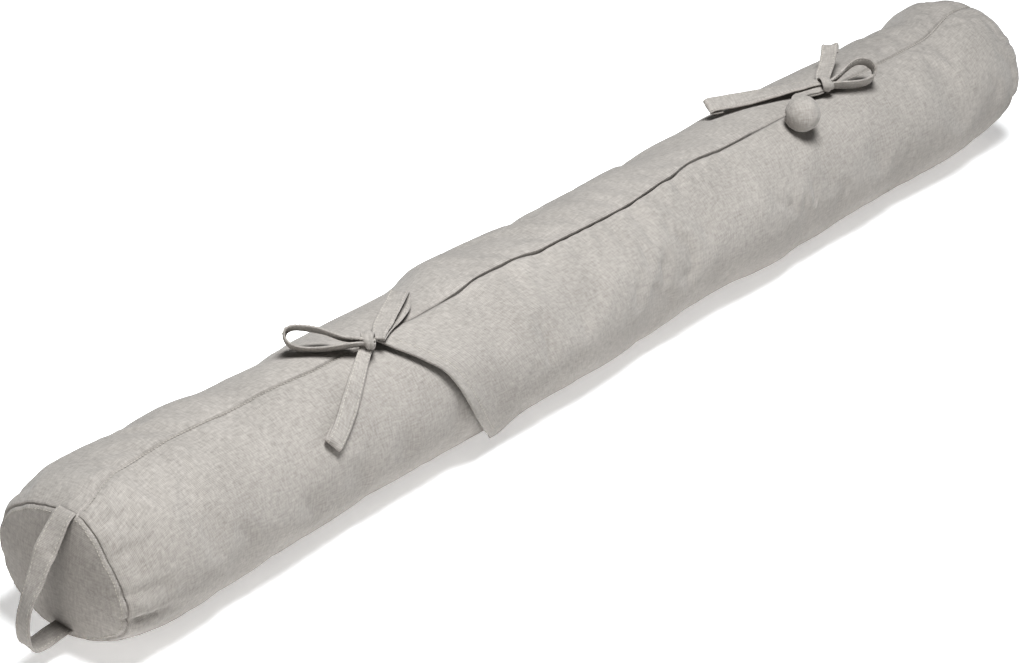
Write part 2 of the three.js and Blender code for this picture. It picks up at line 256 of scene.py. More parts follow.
# Drag lines: soft creases, as points (x, degrees), height and half width.
TUBE_CREASES = [
    ([(-224, 30), (-262, 20), (-318, 24)], -0.7, 5.0),
    ([(-226, 42), (-280, 74), (-330, 96)], 0.5, 9.0),
    ([(-214, 40), (-226, 84), (-244, 112)], -0.6, 7.0),
    ([(268, 22), (300, 50), (322, 84)], -0.7, 6.0),
    ([(274, 16), (330, 34), (386, 66)], 0.6, 8.0),
    ([(-214, 2), (-232, -30), (-240, -66)], -0.8, 6.0),
    ([(256, 0), (244, -34), (236, -70)], -0.8, 6.0),
]
MM_PER_DEG = 0.95
# A crease is felt this many half widths away, and it fades towards its ends.
CREASE_REACH = 2.5
CREASE_ENDS = (0.12, 0.88)


def crease_height(x, angle, creases):
    """What the creases add at a place on the cloth."""
    height = 0.0
    for points, high, half in creases:
        nearest, share = 1e9, 0.0
        steps = len(points) - 1
        for i, ((xa, aa), (xb, ab)) in enumerate(zip(points, points[1:])):
            dx, da = xb - xa, (ab - aa) * MM_PER_DEG
            px, pa = x - xa, (angle - aa) * MM_PER_DEG
            t = min(1.0, max(0.0, (px * dx + pa * da) / (dx * dx + da * da)))
            away = math.hypot(px - t * dx, pa - t * da)
            if away < nearest:
                nearest, share = away, (i + t) / steps
        if nearest < CREASE_REACH * half:
            height += high * hump(nearest, half) * math.sin(math.pi * mixed(*CREASE_ENDS, share))
    return height


# Small swells and drag folds: the filling pushes out a slightly small, coarse copy of the tube, held at
# its ends, along its top line and on the floor. How far that cloth moves is added to the fine cloth.
TUBE_END_X = 449.9
SWELL_STEPS = (150, 60)
SWELL_START = -1.0
SWELL_FRAMES = 20
SWELL_PRESSURE = 4.0
SWELL_SLACK = -0.03
SWELL_CAP = 2.0
SWELL_REACH = (7, 5)
SWELL_END_RUN = 12
FLOOR_HELD = 1.5
# Low on the tube the swells shrink to this share, which they reach so many degrees from the top.
LOW_SWELL_SHARE = 0.3
LOW_SWELL_DEG = 130
LOW_SWELL_FADE_DEG = 45
# Where the bows lie the cloth stays calm: place along the tube, degrees, half length, half turn.
BOW_SPOTS = [(-225, 20, 85, 60), (230, 8, 90, 55)]
BOW_CALM_FROM = 0.8
BOW_CALM_RUN = 0.5


def finished(name, bm, *materials):
    mesh = bpy.data.meshes.new(name)
    bm.to_mesh(mesh)
    bm.free()
    piece = bpy.data.objects.new(name, mesh)
    bpy.context.collection.objects.link(piece)
    for material in materials:
        mesh.materials.append(material)
    return piece


def swell_spot(i, j):
    x = TUBE_END_X * (2 * i / (SWELL_STEPS[0] - 1) - 1)
    return x, row_value(TOP_LINE, x) + 360 * j / SWELL_STEPS[1]


def blown_out():
    """Lets the cloth simulation fill the coarse copy; gives each spot's way out in mm."""
    rows, columns = SWELL_STEPS
    bm = bmesh.new()
    grid = [
        [bm.verts.new(tube_point(*swell_spot(i, j), SWELL_START, fine=True)) for j in range(columns)]
        for i in range(rows)
    ]
    for i in range(rows - 1):
        for j in range(columns):
            k = (j + 1) % columns
            bm.faces.new((grid[i][j], grid[i + 1][j], grid[i + 1][k], grid[i][k]))
    for ring in (grid[0], grid[-1]):
        bm.faces.new(ring)
    bmesh.ops.recalc_face_normals(bm, faces=bm.faces)
    bm.verts.index_update()
    copy = finished("tube_copy", bm)
    start = [vert.co.copy() for vert in copy.data.vertices]
    held = copy.vertex_groups.new(name="held")
    held.add(
        [
            i * columns + j for i in range(rows) for j in range(columns)
            if i in (0, rows - 1) or j == 0 or start[i * columns + j].z < FLOOR_HELD * MM
        ],
        1.0, "REPLACE",
    )
    cloth = copy.modifiers.new("cloth", "CLOTH")
    cloth.settings.vertex_group_mass = held.name
    cloth.settings.use_pressure = True
    cloth.settings.uniform_pressure_force = SWELL_PRESSURE
    cloth.settings.shrink_min = SWELL_SLACK
    cloth.settings.effector_weights.gravity = 0.0
    cloth.point_cache.frame_start = 1
    cloth.point_cache.frame_end = SWELL_FRAMES
    scene = bpy.context.scene
    for number in range(1, SWELL_FRAMES + 1):
        scene.frame_set(number)
    shaped = copy.evaluated_get(bpy.context.evaluated_depsgraph_get()).data

    def moved_out(i, j):
        moved = shaped.vertices[i * columns + j].co - start[i * columns + j]
        return moved.dot(tube_out(swell_spot(i, j)[1])) / MM

    heights = [[moved_out(i, j) for j in range(columns)] for i in range(rows)]
    scene.frame_set(1)
    bpy.data.objects.remove(copy)
    return heights


def fine_swells(heights):
    """Takes the broad swell off, as the tube's own section has it already, and caps the rest."""
    rows, columns = SWELL_STEPS
    reach_along, reach_around = SWELL_REACH

    def broad(i, j):
        near = range(max(0, i - reach_along), min(rows, i + reach_along + 1))
        turns = range(j - reach_around, j + reach_around + 1)
        return sum(heights[a][b % columns] for a in near for b in turns) / (len(near) * len(turns))

    return [
        [SWELL_CAP * math.tanh((heights[i][j] - broad(i, j)) / SWELL_CAP) for j in range(columns)]
        for i in range(rows)
    ]


swells = fine_swells(blown_out())


def swell_at(x, angle):
    """The simulated cloth's height at a place on the tube; less at its ends, low down and near the bows."""
    if swells is None:
        return 0.0
    rows, columns = SWELL_STEPS
    i = min(rows - 1.001, max(0.0, (x / TUBE_END_X + 1) / 2 * (rows - 1)))
    j = (angle - row_value(TOP_LINE, x)) % 360 / 360 * columns
    f, g = i % 1, j % 1
    i, j = int(i), int(j) % columns
    k = (j + 1) % columns
    height = mixed(mixed(swells[i][j], swells[i][k], g), mixed(swells[i + 1][j], swells[i + 1][k], g), f)
    calm = 1.0
    for bow_x, bow_angle, half_run, half_turn in BOW_SPOTS:
        away = max(abs(x - bow_x) / half_run, turn_between(angle, bow_angle) / half_turn)
        calm = min(calm, eased((away - BOW_CALM_FROM) / BOW_CALM_RUN))
    high_up = eased((LOW_SWELL_DEG - turn_between(angle, 0)) / LOW_SWELL_FADE_DEG)
    low = mixed(LOW_SWELL_SHARE, 1.0, high_up)
    return height * calm * low * eased((SEAM_X - abs(x)) / SWELL_END_RUN)


TUBE_STEPS = (320, 172)
TUBE_TURN_IN = 0.93
TUBE_TUCK = 1.6
END_CROWDING = 1.35
LINE_CROWDING = 0.86
# Under this height, in mm, the unevenness fades out towards the floor.
CALM_BELOW = 9
# The sewn top line: a narrow groove in a wider dip, each with its half width, and the bottom of the line.
GROOVE, GROOVE_HALF = 1.9, 0.8
DIP, DIP_HALF = 0.7, 6.0
LINE_DEPTH, LINE_DEPTH_PER_RISE = 2.6, 0.8
# The hem: its second layer, the dent of its stitching, the roll of its lip and how far that laps over.
HEM_LAYER, HEM_LAYER_FADE = 0.4, 2
HEM_DENT, HEM_DENT_HALF = 0.35, 0.9
LIP_RUN, LIP_ROLL = 1.3, 4.0
LIP_LAP_DEG, LIP_LAP_AT, LIP_LAP_HALF = 1.5, 1.5, 1.2
# The opening under the lip, and the dip in front of it.
GAPE_DEPTH = 3.2
GAPE_DIP, GAPE_DIP_HALF = 1.0, 3.0


def tube_run(share):
    run = 2 * share - 1
    return TUBE_END_X * math.copysign(1 - (1 - abs(run)) ** END_CROWDING, run)


def tube_turn(share):
    """Degrees past the top line: the columns of the mesh crowd where the line is."""
    return 360 * (share - LINE_CROWDING * math.sin(2 * math.pi * share) / (2 * math.pi))


def on_edge(share):
    return share < 1e-6 or share > 1 - 1e-6


def tube_skin(along, around):
    x = tube_run(along)
    line = row_value(TOP_LINE, x)
    past = tube_turn(around)
    away = min(past, 360 - past) * MM_PER_DEG
    rise = row_value(HEM_RUN, x)
    hem = eased(rise / HEM_RISE)
    gape = row_value(GAPE_RUN, x)
    drawn = row_value(SEAM_RUN, x)
    angle = line + past
    lift = (1 - gape) * -GROOVE * drawn * hump(away, GROOVE_HALF) - DIP * (1 - hem) * hump(away, DIP_HALF)
    if past > 180:
        angle -= 360
        lift += rise * (1 - eased((line - angle) / HEM_FADE_DEG))
        layer = HEM_LAYER * (1 - eased((away - HEM_DEPTH) / HEM_LAYER_FADE))
        lift += hem * (layer - HEM_DENT * hump(away - HEM_DEPTH, HEM_DENT_HALF))
        lip = max(0.0, 1 - away / LIP_RUN)
        lift -= gape * LIP_ROLL * (1 - math.sqrt(1 - lip * lip))
        angle += gape * LIP_LAP_DEG * hump(away - LIP_LAP_AT, LIP_LAP_HALF)
    else:
        lift -= gape * GAPE_DIP * hump(away, GAPE_DIP_HALF)
    if on_edge(around):
        angle = line
        lift = mixed((LINE_DEPTH_PER_RISE * rise - LINE_DEPTH) * drawn, -GAPE_DEPTH, gape)
    if angle > 180:
        angle -= 360
    lift += crease_height(x, angle, TUBE_CREASES) + swell_at(x, angle)
    point = tube_point(x, angle, lift, fine=True)
    calm = eased(point.z / (CALM_BELOW * MM))
    point += calm * cloth_rise(point) * MM * tube_out(angle)
    if on_edge(along):
        axis = Vector((x, 0.0, tube_section(x)[3])) * MM
        point = axis + TUBE_TURN_IN * (point - axis)
        point.x -= math.copysign(TUBE_TUCK * MM, x)
    return point


def cloth_bmesh():
    bm = bmesh.new()
    bm.loops.layers.uv.new("weave")
    return bm


def cloth_grid(bm, steps, place, weave_at):
    """A grid of cloth with each point put in its place, and its weave laid out in metres."""
    weave = bm.loops.layers.uv.verify()
    grid = bmesh.ops.create_grid(bm, x_segments=steps[0], y_segments=steps[1], size=0.5, calc_uvs=True)
    faces = {face for vert in grid["verts"] for face in vert.link_faces}
    for face in faces:
        face.smooth = True
        for loop in face.loops:
            share = loop.vert.co
            loop[weave].uv = weave_at(share.x + 0.5, share.y + 0.5)
    for vert in grid["verts"]:
        vert.co = place(vert.co.x + 0.5, vert.co.y + 0.5)
    return list(faces)


def face_out(bm, faces, outward):
    """Turns cloth over if it was laid wrong side out."""
    bm.normal_update()
    facing = sum(face.normal.dot(outward(face.calc_center_median())) * face.calc_area() for face in faces)
    if facing < 0:
        bmesh.ops.reverse_faces(bm, faces=faces)


def thicken(piece, thickness, offset=0):
    cloth = piece.modifiers.new("cloth", "SOLIDIFY")
    cloth.thickness = thickness
    cloth.offset = offset


LINEN_LIGHT = (0.538, 0.506, 0.475, 1)
LINEN_DARK = (0.246, 0.229, 0.212, 1)
THREAD_PITCH = 0.00085
WAVE_PERIOD = 0.31416
SLUB_SCALES = ((190, 760, 1), (760, 190, 1))
MOTTLE_SCALE = 26
# What the crossings of the threads, the slubs and the mottling add to the tone, and what it starts from.
TONE_OF_CROSSING = 0.35
TONE_OF_SLUBS = 0.55
TONE_OF_MOTTLE = 0.3
TONE_START = -0.37
RELIEF_OF_SLUBS = 0.8


def linen_weave(name):
    """Slubby plain-weave linen: threads both ways, thick and thin places, and a little mottling."""
    material = bpy.data.materials.new(name)
    material.use_nodes = True
    nodes, links = material.node_tree.nodes, material.node_tree.links
    shader = nodes["Principled BSDF"]
    shader.inputs["Roughness"].default_value = 0.92
    shader.inputs["Specular IOR Level"].default_value = 0.12
    shader.inputs["Sheen Weight"].default_value = 0.18
    shader.inputs["Sheen Roughness"].default_value = 0.6
    weave = nodes.new("ShaderNodeUVMap")
    weave.uv_map = "weave"
    body = nodes.new("ShaderNodeTexCoord")

    def joined(operation, a, b):
        node = nodes.new("ShaderNodeMath")
        node.operation = operation
        for socket, value in zip(node.inputs, (a, b)):
            if isinstance(value, (int, float)):
                socket.default_value = value
            else:
                links.new(value, socket)
        return node.outputs[0]

    def threads(direction):
        node = nodes.new("ShaderNodeTexWave")
        node.bands_direction = direction
        node.inputs["Scale"].default_value = WAVE_PERIOD / THREAD_PITCH
        node.inputs["Distortion"].default_value = 1.2
        node.inputs["Detail"].default_value = 1.0
        node.inputs["Detail Scale"].default_value = 0.12
        links.new(weave.outputs["UV"], node.inputs["Vector"])
        return node.outputs["Fac"]

    def slubs(scale):
        stretch = nodes.new("ShaderNodeMapping")
        stretch.inputs["Scale"].default_value = scale
        links.new(weave.outputs["UV"], stretch.inputs["Vector"])
        node = nodes.new("ShaderNodeTexNoise")
        node.inputs["Scale"].default_value = 1.0
        node.inputs["Detail"].default_value = 2.0
        links.new(stretch.outputs["Vector"], node.inputs["Vector"])
        return node.outputs["Fac"]

    crossing = joined("MULTIPLY", threads("X"), threads("Y"))
    thick = joined("ADD", *(slubs(scale) for scale in SLUB_SCALES))
    mottle = nodes.new("ShaderNodeTexNoise")
    mottle.inputs["Scale"].default_value = MOTTLE_SCALE
    mottle.inputs["Detail"].default_value = 3
    links.new(body.outputs["Object"], mottle.inputs["Vector"])
    tone = joined("MULTIPLY_ADD", crossing, TONE_OF_CROSSING)
    tone.node.inputs[2].default_value = TONE_START
    tone = joined("ADD", tone, joined("MULTIPLY", thick, TONE_OF_SLUBS))
    tone = joined("ADD", tone, joined("MULTIPLY", mottle.outputs["Fac"], TONE_OF_MOTTLE))
    colour = nodes.new("ShaderNodeMix")
    colour.data_type = "RGBA"
    colour.inputs["A"].default_value = LINEN_DARK
    colour.inputs["B"].default_value = LINEN_LIGHT
    links.new(tone, colour.inputs["Factor"])
    links.new(colour.outputs["Result"], shader.inputs["Base Color"])
    relief = joined("ADD", crossing, joined("MULTIPLY", thick, RELIEF_OF_SLUBS))
    bump = nodes.new("ShaderNodeBump")
    bump.inputs["Strength"].default_value = 0.35
    bump.inputs["Distance"].default_value = 0.0004
    links.new(relief, bump.inputs["Height"])
    links.new(bump.outputs["Normal"], shader.inputs["Normal"])
    return material


linen_cover = linen_weave("linen_cover")

bm = cloth_bmesh()
cloth_grid(
    bm, TUBE_STEPS, tube_skin,
    lambda along, around: (tube_run(along) * MM, tube_turn(around) * MM_PER_DEG * MM),
)
bmesh.ops.remove_doubles(bm, verts=bm.verts, dist=0.00002)
bmesh.ops.holes_fill(bm, edges=[edge for edge in bm.edges if edge.is_boundary], sides=0)
bmesh.ops.recalc_face_normals(bm, faces=bm.faces)
filled_tube = finished("filled_tube_cloth", bm, linen_cover)
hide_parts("filled_tube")
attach(filled_tube, "root")

# End panels: round pieces of the same linen, sewn into the ends of the tube, which the filling
# pushes out into low domes. The seam draws small gathers into their rims.
END_PANEL_STEPS = (34, 180)
END_PANEL_CLOTH = 0.0012
END_RIM_ROLL = 2.2
END_RIM_LIFT = 0.3
END_DOME_SHAPE = (2.2, 0.8)
# Shares of the way out to the rim: where the cloth rolls in, and where its gathers stop.
END_ROLL_FROM, END_ROLL_RUN = 0.972, 0.028
END_CALM_FROM, END_CALM_RUN = 0.97, 0.03
# Fine and broad gathers: height, how close they come, and how soon they fade towards the middle.
END_GATHERS = [(0.9, 8.0, 8), (1.1, 2.2, 2)]


def end_panel_skin(side):
    end = NEAR_END if side < 0 else FAR_END
    middle = Vector((side * SEAM_X, 0.0, tube_section(side * SEAM_X)[3])) * MM

    def place(out, around):
        angle = 360 * around - 180
        rim = tube_point(side * SEAM_X, angle, END_RIM_LIFT, fine=True)
        swing = Vector((side * 3.0, math.sin(math.radians(angle)), math.cos(math.radians(angle))))
        dome = end["dome"] * (1 - out ** END_DOME_SHAPE[0]) ** END_DOME_SHAPE[1]
        roll = END_RIM_ROLL * eased((out - END_ROLL_FROM) / END_ROLL_RUN)
        gather = sum(high * noise.noise(swing * close) * out ** fade for high, close, fade in END_GATHERS)
        gather *= 1 - eased((out - END_CALM_FROM) / END_CALM_RUN)
        point = middle + out * (rim - middle)
        point.x = side * (SEAM_X + dome - roll + gather) * MM
        return point

    return place


for side, node in ((-1, "end_panel_near"), (1, "end_panel_far")):
    half_width, crown, under, _, _ = tube_section(side * SEAM_X)
    bm = cloth_bmesh()
    cloth_grid(
        bm, END_PANEL_STEPS, end_panel_skin(side),
        lambda out, around: (
            out * half_width * MM * math.sin(2 * math.pi * around),
            out * crown * MM * math.cos(2 * math.pi * around),
        ),
    )
    bmesh.ops.remove_doubles(bm, verts=bm.verts, dist=0.00002)
    face_out(bm, list(bm.faces), lambda centre: Vector((side, 0, 0)))
    panel = finished(node + "_cloth", bm, linen_cover)
    thicken(panel, END_PANEL_CLOTH)
    across, tall = 2 * half_width * MM, (crown + under) * MM
    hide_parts(node)
    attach(panel, "root")

# Closing panel: a loose piece of the same linen on the front of the tube. Its top edge runs under the
# hem of the opening, its slanting near edge hangs free, and its lower and far edges are sewn down.
PANEL_CLOTH = 1.4
PANEL_LIFT = 0.7
PANEL_HIGHEST_DEG = 17
PANEL_LOWEST_DEG = 134
PANEL_STEPS = (230, 84)
PANEL_EDGE_REACH = 46
PANEL_TOP_GAP_DEG = 0.9
# How deep its sewn edges are drawn in, how far in from them that reaches, and its dip under the hem.
PANEL_SEWN_DEPTH = 2.6
PANEL_SEWN_FAR = 26
PANEL_SEWN_LOW_DEG = 9
PANEL_TUCK, PANEL_TUCK_HALF = 0.5, 3.0
# Degrees from the top, the near edge's place, and how far the cloth stands off the tube there.
PANEL_NEAR_EDGE = [
    (17, -213, 4.0), (22, -209.5, 3.8), (27.5, -206, 3.2), (32.5, -202, 2.8), (45, -191.5, 2.8),
    (56, -182.5, 3.4), (66, -177, 3.2), (81, -169.8, 2.0), (98, -161, 1.6), (117, -148.5, 2.8),
    (124, -142, 3.4), (134, -134, 4.0),
]
PANEL_FAR_EDGE = [(17, 224), (134, 190)]
# Pressed creases and drag lines of the panel: points (x, degrees), height, half width.
PANEL_CREASES = [
    ([(-105, 23), (-109, 45), (-101, 65), (-90, 86), (-85, 101)], 0.55, 2.6),
    ([(-92, 62), (-82, 84), (-76, 100)], 0.4, 2.4),
    ([(-76, 20), (-70, 36)], 0.5, 2.2),
    ([(-200, 27), (-166, 36), (-128, 40)], -0.9, 5.0),
    ([(-198, 34), (-160, 58), (-118, 76)], 0.7, 7.0),
    ([(-190, 48), (-150, 84), (-124, 104)], -0.8, 7.0),
    ([(20, 26), (34, 58), (30, 92)], -0.5, 9.0),
    ([(120, 30), (136, 62), (124, 100)], 0.6, 9.0),
    ([(214, 28), (180, 52), (150, 84)], -0.7, 7.0),
    ([(84, 73), (73, 92), (74.5, 122)], 0.5, 2.6),
]


def panel_place(along, down):
    level = mixed(PANEL_HIGHEST_DEG, PANEL_LOWEST_DEG, 1 - down)
    near = smooth_value(PANEL_NEAR_EDGE, level)
    far = row_value(PANEL_FAR_EDGE, level)
    x = mixed(near, far, along)
    top = row_value(TOP_LINE, x) + PANEL_TOP_GAP_DEG
    angle = mixed(top, PANEL_LOWEST_DEG, 1 - down)
    free = 1 - eased((x - near) / PANEL_EDGE_REACH)
    off = smooth_value(PANEL_NEAR_EDGE, level, 2) * free
    sewn_low = (1 - free) * eased(1 - (PANEL_LOWEST_DEG - angle) / PANEL_SEWN_LOW_DEG)
    sewn = max(eased(1 - (far - x) / PANEL_SEWN_FAR), sewn_low)
    tucked = hump((angle - top) * MM_PER_DEG, PANEL_TUCK_HALF) * (1 - free)
    lift = PANEL_LIFT + off + crease_height(x, angle, PANEL_CREASES)
    lift -= PANEL_SEWN_DEPTH * sewn + PANEL_TUCK * tucked
    lift += swell_at(x, angle) * (1 - free)
    point = tube_point(x, angle, lift)
    return point + cloth_rise(point) * MM * tube_out(angle)


bm = cloth_bmesh()
panel_width = (PANEL_LOWEST_DEG - PANEL_HIGHEST_DEG) * MM_PER_DEG * MM
panel_length = (PANEL_FAR_EDGE[0][1] - PANEL_NEAR_EDGE[0][1]) * MM
faces = cloth_grid(
    bm, PANEL_STEPS, panel_place, lambda along, down: (along * panel_length, down * panel_width)
)
face_out(bm, faces, lambda centre: Vector((0, centre.y, centre.z - AXIS_HEIGHT * MM)))
closing_panel = finished("closing_panel_cloth", bm, linen_cover)
thicken(closing_panel, PANEL_CLOTH * MM, offset=1)
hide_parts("closing_panel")
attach(closing_panel, "root")

# Near ties: two flat straps of folded and edge-stitched linen, knotted into a bow at the corner of the
# closing panel. One strap makes the knot, the loop to the left and the tail that hangs on the front.
# The other makes the loop that lies back over the top of the tube.
TIE_WIDTH = 12.5
TIE_CLOTH = 1.6
TIE_IN_KNOT_WIDTH = 8.0
# How much of a strap is wound up in a knot, in metres.
TIE_IN_KNOT = 0.03
STRAP_STEPS_ACROSS = 8
# A strap's small ripples: height, how close they come along it and across it.
RIPPLE, RIPPLE_ALONG, RIPPLE_ACROSS = 0.35, 90, 2.2
SLANT_FROM, SLANT_RUN = 0.7, 0.3
TANGENT_STEP = 0.004
# Where the rows of stitches lie across a strap, and their lift as a share of its thickness.
STRAP_STITCHES = (0.13, 0.87)
STITCH_LIFT = 0.52
KNOT_STEPS = (44, 10)
KNOT_BAND_LENGTH = 0.035
KNOT_PLUMPNESS = 0.2
KNOT_FOLD, KNOT_FOLDS = 0.35, 11
linen_tie = linen_weave("linen_tie")


def line_through(points):
    """A smooth line through points, from t 0 to 1, with as much of t for each stretch as its length."""
    stretches = [(b - a).length for a, b in zip(points, points[1:])]
    whole = sum(stretches)

    def at(t):
        left = min(1.0, max(0.0, t)) * whole
        i = 0
        while i < len(stretches) - 1 and left > stretches[i]:
            left -= stretches[i]
            i += 1
        f = left / stretches[i]
        p1, p2 = points[i], points[i + 1]
        p0 = points[i - 1] if i else 2 * p1 - p2
        p3 = points[i + 2] if i + 2 < len(points) else 2 * p2 - p1
        d1 = (p2 - p0) / (stretches[i] + (stretches[i - 1] if i else stretches[i])) * stretches[i]
        after = stretches[i + 1] if i + 1 < len(stretches) else stretches[i]
        d2 = (p3 - p1) / (stretches[i] + after) * stretches[i]
        f2, f3 = f * f, f * f * f
        return (
            p1 * (2 * f3 - 3 * f2 + 1) + d1 * (f3 - 2 * f2 + f)
            + p2 * (3 * f2 - 2 * f3) + d2 * (f3 - f2)
        )

    return at, whole


def line_on_tube(rows):
    return line_through([tube_point(*row) for row in rows])


def drawn_in(width, start=0.4, end=0.0, knot_width=TIE_IN_KNOT_WIDTH):
    """A strap's width along it: narrow over the share of it at each end that is pulled into a knot."""

    def at(t):
        tightness = 1.0
        if start:
            tightness = min(tightness, eased(t / start))
        if end:
            tightness = min(tightness, eased((1 - t) / end))
        return mixed(knot_width, width, tightness)

    return at


def facing_across(x, y, z):
    """A strap's sideways direction where it stays the same all along."""
    return lambda point, along, t: Vector((x, y, z))


stitch_spots = []
STITCH_PITCH = 2.6
STITCH_LENGTH = 1.7
STITCH_THICK = 0.5


def stitch_along(surface, length, out_at, pitch=STITCH_PITCH):
    """Notes a row of stitches along a line on a cloth; the threads are made later, all in one piece."""
    count = max(2, round(length / (pitch * MM)))
    for i in range(count):
        t = (i + 0.5) / count
        along = surface(min(1.0, t + 0.5 / count)) - surface(max(0.0, t - 0.5 / count))
        stitch_spots.append((surface(t), along, out_at(t)))


def add_strap(bm, line, across_at, width_at, steps=40, cup=0.0, seed=0.0, slant=0.0, stitched=True):
    """Lays one flat strap along a line. cup bows it across its width, slant cuts its end askew, in mm."""
    at, length = line

    def spread(along, sideways):
        point = at(along)
        tangent = (at(along + TANGENT_STEP) - at(along - TANGENT_STEP)).normalized()
        across = across_at(point, tangent, along)
        across = (across - tangent * across.dot(tangent)).normalized()
        facing = tangent.cross(across)
        share = sideways - 0.5
        ripple = noise.noise(Vector((along * length * RIPPLE_ALONG, share * RIPPLE_ACROSS, seed)))
        bow = cup * (1 - 4 * share * share) + RIPPLE * ripple
        skew = slant * share * eased((along - SLANT_FROM) / SLANT_RUN)
        place = point + (across * (share * width_at(along)) + facing * bow + tangent * skew) * MM
        return place, facing

    if stitched:
        for sideways in STRAP_STITCHES:
            for side in (-1, 1):
                def thread(t, sideways=sideways, side=side):
                    place, facing = spread(t, sideways)
                    return place + facing * (side * STITCH_LIFT * TIE_CLOTH * MM)

                def out_at(t, sideways=sideways, side=side):
                    return spread(t, sideways)[1] * side

                stitch_along(thread, length, out_at)
    cloth_grid(
        bm, (steps, STRAP_STEPS_ACROSS), lambda along, sideways: spread(along, sideways)[0],
        lambda along, sideways: (along * length, (sideways - 0.5) * width_at(along) * MM),
    )


def line_in_space(rows):
    return line_through([Vector(row) * MM for row in rows])


def add_knot_band(bm, knot, axis, radii, width, tilt, seed):
    """The strap's turn round the middle of the bow: a snug, creased band about the knot's axis."""
    knot = Vector(knot) * MM
    axis = Vector(axis).normalized()
    up = (Vector((0, 0, 1)) - axis * axis.z).normalized()
    side = axis.cross(up)

    def place(along, sideways):
        turn = 2 * math.pi * along
        share = sideways - 0.5
        plump = 1 + KNOT_PLUMPNESS * (1 - 4 * share * share)
        fold = KNOT_FOLD * math.sin(KNOT_FOLDS * share + 2.0 * math.sin(turn + seed))
        around = side * math.cos(turn) * (radii[0] * plump + fold)
        around += up * math.sin(turn) * (radii[1] * plump + fold)
        slant = axis * (share * width * (0.8 + 0.25 * math.sin(turn + seed)) + tilt * math.sin(turn))
        return knot + (around + slant) * MM

    cloth_grid(
        bm, KNOT_STEPS, place,
        lambda along, sideways: (along * KNOT_BAND_LENGTH, sideways * TIE_WIDTH * MM),
    )


def finish_tie(name, bm, node, length):
    bmesh.ops.remove_doubles(bm, verts=bm.verts, dist=0.00001)
    tie = finished(name, bm, linen_tie)
    thicken(tie, TIE_CLOTH * MM)
    rounding = tie.modifiers.new("rounding", "SUBSURF")
    rounding.levels = rounding.render_levels = 1
    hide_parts(node)
    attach(tie, "root")
    return tie


NEAR_KNOT = (-219.0, -22.3, 106.6)
NEAR_LOOP_AXIS = (-0.66, 0.75, 0.0)
NEAR_LOOP_ACROSS = (-0.57, -0.49, 0.66)
NEAR_LOOP = [
    (-217.5, -26.4, 106.4), (-223.5, -19.1, 107.5), (-229.2, -12.3, 108.3), (-232.5, -7.3, 109.8),
    (-236.6, -0.7, 112.3), (-242.3, 6.8, 114.0), (-247.4, 12.5, 114.4), (-250.9, 15.0, 112.9),
    (-252.8, 14.5, 109.8), (-252.6, 11.2, 105.9), (-249.2, 5.6, 103.6), (-242.2, -2.4, 102.9),
    (-235.0, -9.5, 103.8), (-228.4, -15.5, 104.9), (-222.1, -21.8, 105.2), (-217.8, -26.7, 104.6),
]
# Place along the tube, degrees from the top, and height over the tube; the end is folded under as a hem.
NEAR_FRONT_TAIL = [
    (-219.5, 20.8, 6.4), (-226.2, 24.1, 4.8), (-239.8, 32.9, 3.4), (-256.4, 44.5, 3.2),
    (-270.2, 54.2, 3.4), (-280.2, 60.0, 4.0), (-282.6, 61.6, 3.0), (-280.6, 60.3, 1.9),
    (-273.5, 56.3, 1.3),
]
NEAR_BACK_ACROSS = (0.465, -0.885, 0.03)
NEAR_BACK_LOOP = [
    (-213, -24, 105.8), (-203.7, -17.9, 107.0), (-190, -11.5, 109.6), (-177.7, -5.7, 110.8),
    (-168, -0.2, 110.6), (-164.6, 2.2, 108.4), (-166, 0.4, 105.8), (-173, -6.0, 104.9),
    (-186, -12.0, 104.3), (-199, -17.0, 104.4), (-212, -23.5, 104.2),
]


near_tail_run = tube_point(*NEAR_FRONT_TAIL[5]) - tube_point(*NEAR_FRONT_TAIL[1])


def near_tail_across(point, along, t):
    """Lies flat on the tube, also where the end is folded under."""
    return Vector((0, point.y, point.z - AXIS_HEIGHT * MM)).cross(near_tail_run)


bm = cloth_bmesh()
near_loop = line_in_space(NEAR_LOOP)
add_strap(
    bm, near_loop, facing_across(*NEAR_LOOP_ACROSS), drawn_in(12, 0.25, 0.25), steps=72, cup=0.4, seed=1
)
near_tail = line_on_tube(NEAR_FRONT_TAIL)
add_strap(bm, near_tail, near_tail_across, drawn_in(12, 0.6), steps=72, cup=0.7, seed=2, slant=-3.0)
add_knot_band(bm, NEAR_KNOT, NEAR_LOOP_AXIS, (4.6, 4.0), 8.0, 1.2, 0.4)
near_tie_over = finish_tie(
    "near_tie_over_strap", bm, "near_tie_over", near_loop[1] + near_tail[1] + TIE_IN_KNOT,
)

bm = cloth_bmesh()
near_back = line_in_space(NEAR_BACK_LOOP)
add_strap(
    bm, near_back, facing_across(*NEAR_BACK_ACROSS), drawn_in(12.5, 0.16, 0.3), steps=64, cup=0.5, seed=3
)
finish_tie("near_tie_under_strap", bm, "near_tie_under", near_back[1])

# Far ties: the same two straps at the other end of the opening. One makes the knot, the loop to the
# right and the stiff tail that lies back to the left. The other makes the short tail that stands up
# behind the knot and the puffed loop that rolls forward on the front.
FAR_KNOT = (251.5, -16.0, 107.6)
FAR_LOOP_AXIS = (0.93, -0.37, 0.0)
FAR_LOOP_ACROSS = (-0.50, -0.47, 0.73)
FAR_LOOP = [
    (250, -16, 108.2), (257.5, -17.4, 108.0), (266, -18.0, 109.8), (275, -18.6, 113.2),
    (283, -20.6, 115.0), (289.6, -24.6, 113.2), (292.6, -28.0, 108.2), (291.4, -29.0, 102.8),
    (285.4, -27.6, 100.6), (274.6, -23.6, 101.2), (263.6, -19.8, 103.6), (256, -17.6, 105.4),
    (249, -15.6, 106.4),
]
